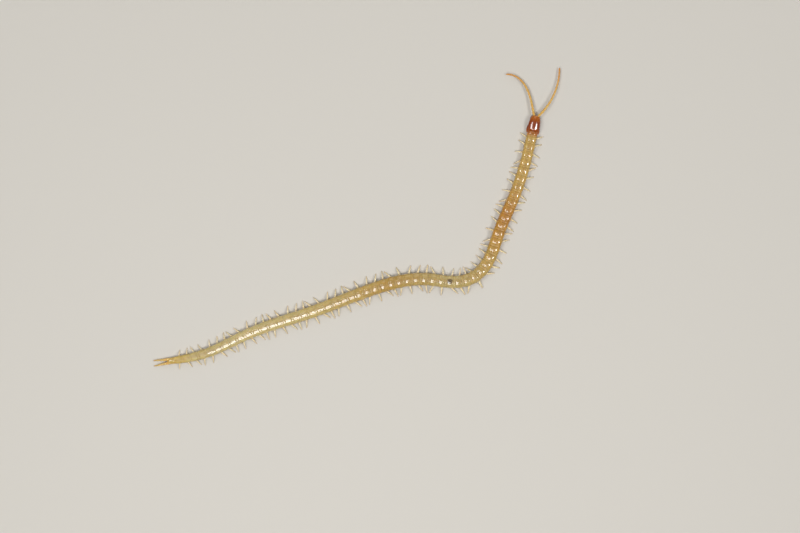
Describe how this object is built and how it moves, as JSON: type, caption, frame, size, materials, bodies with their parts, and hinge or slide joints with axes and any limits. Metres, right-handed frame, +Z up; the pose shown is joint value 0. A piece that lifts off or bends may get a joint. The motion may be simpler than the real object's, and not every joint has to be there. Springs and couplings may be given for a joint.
{
  "type": "soil centipede model",
  "caption": "Life-size still model of a long, thin soil centipede that lies in a loose S on the floor, with an orange-red head, two feelers and a pair of short legs on each segment.",
  "frame": {"origin": "the middle of the box round the animal, on the floor that it lies on", "axes": "+X to the right and +Y to the top of a view from above with the head at the upper right, +Z up"},
  "size_m": [0.0409, 0.0304, 0.001],
  "materials": {
    "trunk": "wet, translucent ochre cuticle",
    "head": "polished orange-red cuticle",
    "claw": "polished dark red-brown cuticle with black tips",
    "feeler": "ochre cuticle with fine hairs",
    "leg": "pale, translucent cream cuticle"
  },
  "bodies": {
    "root": {"head": "head", "claw_segment": "head", "poison_claw_left": "claw", "poison_claw_right": "claw", "feeler_left": "feeler", "feeler_right": "feeler", "trunk_01": "trunk", "trunk_02": "trunk", "trunk_03": "trunk", "trunk_04": "trunk", "trunk_05": "trunk", "trunk_06": "trunk", "trunk_07": "trunk", "trunk_08": "trunk", "trunk_09": "trunk", "trunk_10": "trunk", "trunk_11": "trunk", "trunk_12": "trunk", "last_leg_left": "leg", "last_leg_right": "leg", "hind_end": "trunk"}
  },
  "joints": []
}
